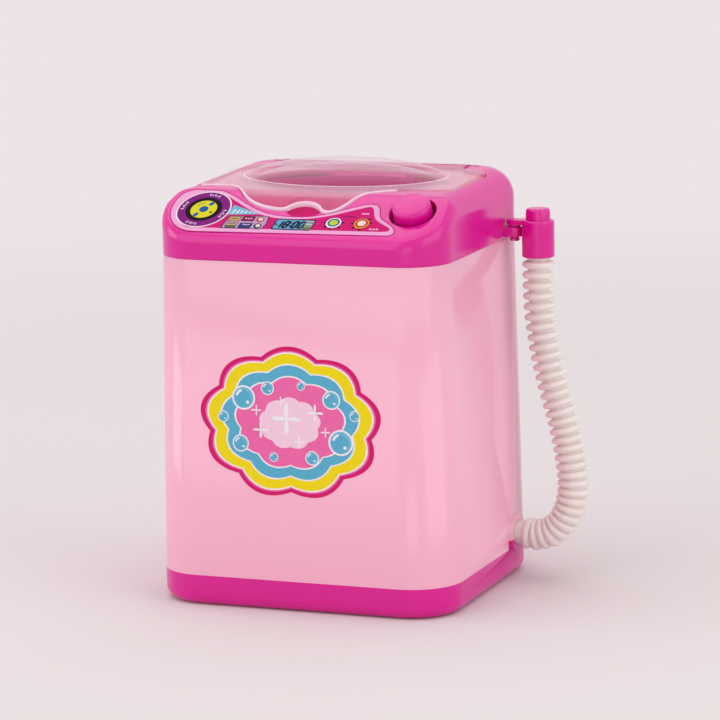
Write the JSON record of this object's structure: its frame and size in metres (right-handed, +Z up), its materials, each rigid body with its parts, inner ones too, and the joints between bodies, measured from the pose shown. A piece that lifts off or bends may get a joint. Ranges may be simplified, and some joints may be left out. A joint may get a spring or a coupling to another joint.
{
  "type": "toy washing machine",
  "caption": "Battery-driven toy washing machine with a clear domed lid, press button, ribbed drain hose on a swing arm, and a geared pulsator in its tub.",
  "frame": {"origin": "centre of the base tray's flat underside", "axes": "+Z up; the control panel and the front wall face -Y; the drain hose is on the +X side"},
  "size_m": [0.109, 0.0776, 0.1196],
  "materials": {
    "cap_magenta": "glossy magenta moulding",
    "body_pink": "high-gloss pale pink moulding",
    "clear_lid": "clear, faintly pink and hazy",
    "steel": "zinc-plated steel",
    "black_plastic": "fine matte",
    "white_plastic": "natural nylon",
    "seal_rubber": "soft black rubber",
    "brass": "turned",
    "motor_can": "plated can",
    "cell_jacket": "plain printed jacket, no text",
    "soft_pipe": "soft translucent pipe",
    "hose_white": "semi-gloss soft white plastic",
    "printed_film": "printed glossy film",
    "wire_red": "insulated wire",
    "wire_black": "insulated wire",
    "wire_white": "insulated wire"
  },
  "bodies": {
    "root": {"base_tray": "cap_magenta", "body_shell": "body_pink", "top_cap": "cap_magenta", "switch_body": "black_plastic", "switch_screws": "steel", "button_spring": "steel", "wash_tub": "cap_magenta", "shaft_seal": "seal_rubber", "shaft_bush": "brass", "drive_plate": "white_plastic", "motor": "motor_can", "motor_bracket": "steel", "motor_screws": "steel", "plate_screws": "steel", "tub_screws": "steel", "cap_screws": "steel", "base_screws": "steel", "battery_cells": "cell_jacket", "battery_contacts": "steel", "battery_springs": "steel", "battery_door": "cap_magenta", "door_screw": "steel", "drain_pipe": "soft_pipe", "drain_hose": "hose_white", "panel_sticker": "printed_film", "front_sticker": "printed_film", "wire_red": "wire_red", "wire_black": "wire_black", "wire_white": "wire_white"},
    "lid": {"lid": "clear_lid"},
    "start_button": {"start_button": "cap_magenta", "switch_plunger": "white_plastic"},
    "rotor": {"pulsator": "body_pink", "pulsator_shaft": "steel", "drive_gear": "white_plastic"},
    "pinion": {"motor_shaft": "steel", "motor_pinion": "brass"},
    "hose_arm": {"hose_arm": "cap_magenta"},
    "hose_plug": {"hose_plug": "cap_magenta"}
  },
  "joints": [
    {"name": "lid_hinge", "type": "hinge", "parent": "root", "child": "lid", "pos_m": [0, 0.0285, 0.11475], "axis": [-1, 0, 0], "range_deg": [0, 105]},
    {"name": "start_press", "type": "slide", "parent": "root", "child": "start_button", "axis": [0, 0.5, -0.866], "range_m": [0, 0.002], "stiffness_N_per_m": 300, "springref_m": -0.001, "deforming": ["button_spring"]},
    {"name": "pulsator_spin", "type": "hinge", "parent": "root", "child": "rotor", "pos_m": [0, 0.007, 0.06], "axis": [0, 0, 1], "continuous": true},
    {"name": "motor_spin", "type": "hinge", "parent": "root", "child": "pinion", "pos_m": [0, -0.017, 0.05], "axis": [0, 0, 1], "continuous": true},
    {"name": "hose_arm_swing", "type": "hinge", "parent": "root", "child": "hose_arm", "pos_m": [0.0446, 0.0195, 0.1], "axis": [0, 0, 1], "range_deg": [-35, 35], "deforming": ["drain_hose"]},
    {"name": "plug_pull", "type": "slide", "parent": "hose_arm", "child": "hose_plug", "axis": [0, 0, 1], "range_m": [0, 0.012]}
  ],
  "couplings": [
    {"joint": "motor_spin", "follows": "pulsator_spin", "ratio": -3}
  ]
}
